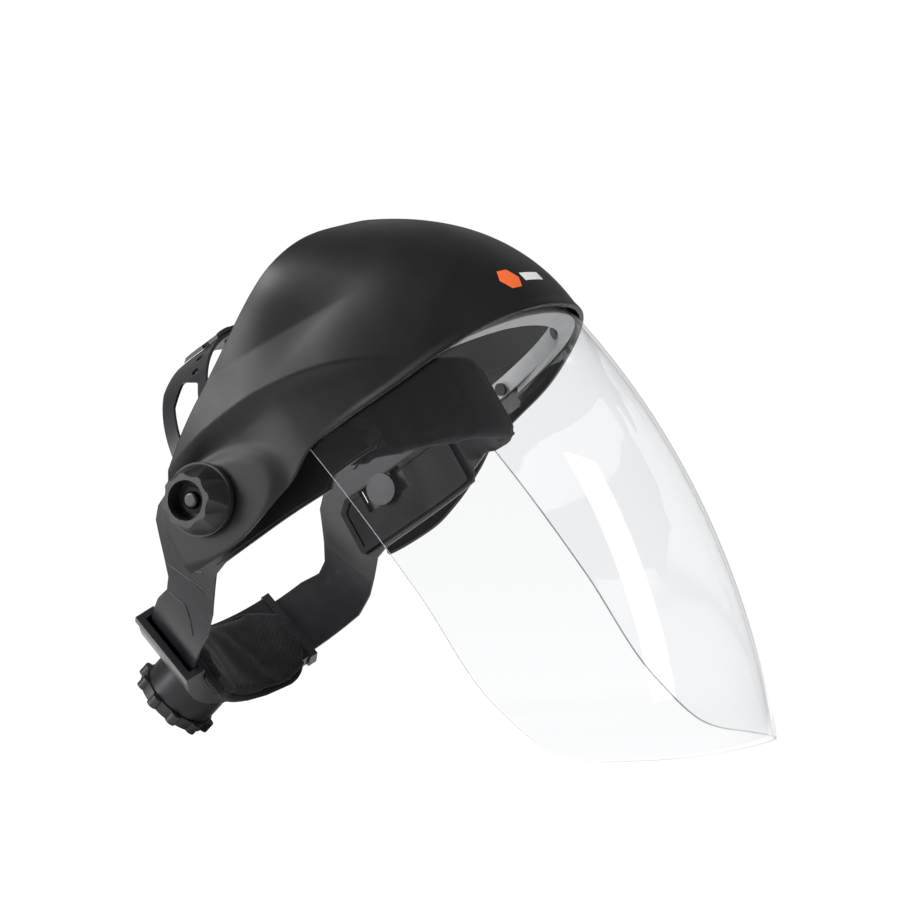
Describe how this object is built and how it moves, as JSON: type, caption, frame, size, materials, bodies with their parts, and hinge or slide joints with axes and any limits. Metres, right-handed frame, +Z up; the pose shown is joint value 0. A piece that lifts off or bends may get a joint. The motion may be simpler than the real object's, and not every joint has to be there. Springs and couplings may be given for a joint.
{
  "type": "face shield",
  "caption": "Protective face shield: clear curved screen under a domed brow guard, tilting on side knobs over adjustable headgear with a padded rear ratchet and an over-head strap.",
  "frame": {"origin": "centre of the bounding box at its base, the surface the shield lies on", "axes": "-Y is the front, the way the wearer looks, +X the wearer's left and +Z up. The shield lies on the screen's lower edge and the rear knob, tipped 30.3 degrees nose-up from how it is worn"},
  "size_m": [0.227, 0.3262, 0.2481],
  "materials": {
    "crown": "satin moulded",
    "clear_screen": "clear polycarbonate",
    "inner_strip": "satin",
    "black_plastic": "satin",
    "knob_plastic": "fine texture",
    "gloss_black": "polished",
    "washer": "plain",
    "metal": "plated",
    "black_steel": "blackened",
    "sweat_fabric": "embossed soft cover",
    "pad_fabric": "spacer mesh"
  },
  "bodies": {
    "headgear": {"side_plate_left": "black_plastic", "side_plate_right": "black_plastic", "rear_arm_left": "black_plastic", "rear_arm_right": "black_plastic", "side_rail_left": "gloss_black", "side_rail_right": "gloss_black", "front_band": "black_plastic", "band_rivets": "black_plastic", "sweatband": "sweat_fabric", "strap_left": "black_plastic", "strap_right": "black_plastic", "strap_pegs": "black_plastic", "strap_rivets": "black_plastic"},
    "pivots": {"pivot_slider_left": "black_plastic", "pivot_slider_right": "black_plastic", "pivot_bolt_left": "black_steel", "pivot_bolt_right": "black_steel", "friction_washer_left": "washer", "friction_washer_right": "washer"},
    "crown": {"crown_shell": "crown", "visor_frame": "inner_strip", "visor": "clear_screen", "visor_studs": "black_plastic", "knob_washer_left": "washer", "knob_washer_right": "washer"},
    "left_knob": {"tension_knob_left": "knob_plastic", "knob_insert_left": "gloss_black"},
    "right_knob": {"tension_knob_right": "knob_plastic", "knob_insert_right": "gloss_black"},
    "nape": {"ratchet_cover": "black_plastic", "ratchet_plate": "black_plastic", "pad_carrier": "black_plastic", "nape_pad": "pad_fabric", "detent_ring": "metal"},
    "rear_knob": {"ratchet_knob": "knob_plastic", "ratchet_pinion": "black_plastic", "ratchet_screw": "metal"}
  },
  "joints": [
    {"name": "fore_aft", "type": "slide", "parent": "headgear", "child": "pivots", "axis": [0, -0.8634, 0.5045], "range_m": [-0.006, 0.006]},
    {"name": "crown_tilt", "type": "hinge", "parent": "pivots", "child": "crown", "pos_m": [0, 0.06752, 0.11758], "axis": [-1, 0, 0], "range_deg": [0, 80]},
    {"name": "left_knob_turn", "type": "hinge", "parent": "pivots", "child": "left_knob", "pos_m": [0.106, 0.06752, 0.11758], "axis": [1, 0, 0], "range_deg": [-180, 180]},
    {"name": "right_knob_turn", "type": "hinge", "parent": "pivots", "child": "right_knob", "pos_m": [-0.106, 0.06752, 0.11758], "axis": [-1, 0, 0], "range_deg": [-180, 180]},
    {"name": "nape_slide", "type": "slide", "parent": "headgear", "child": "nape", "axis": [0, -0.7337, 0.6794], "range_m": [-0.0073, 0.0146], "deforming": ["rear_arm_left", "rear_arm_right"]},
    {"name": "rear_knob_turn", "type": "hinge", "parent": "nape", "child": "rear_knob", "pos_m": [0, 0.13786, 0.02559], "axis": [0, 0.7337, -0.6794], "range_deg": [-60, 120]}
  ],
  "couplings": [
    {"joint": "rear_knob_turn", "follows": "nape_slide", "rad_per_m": 142.86}
  ]
}
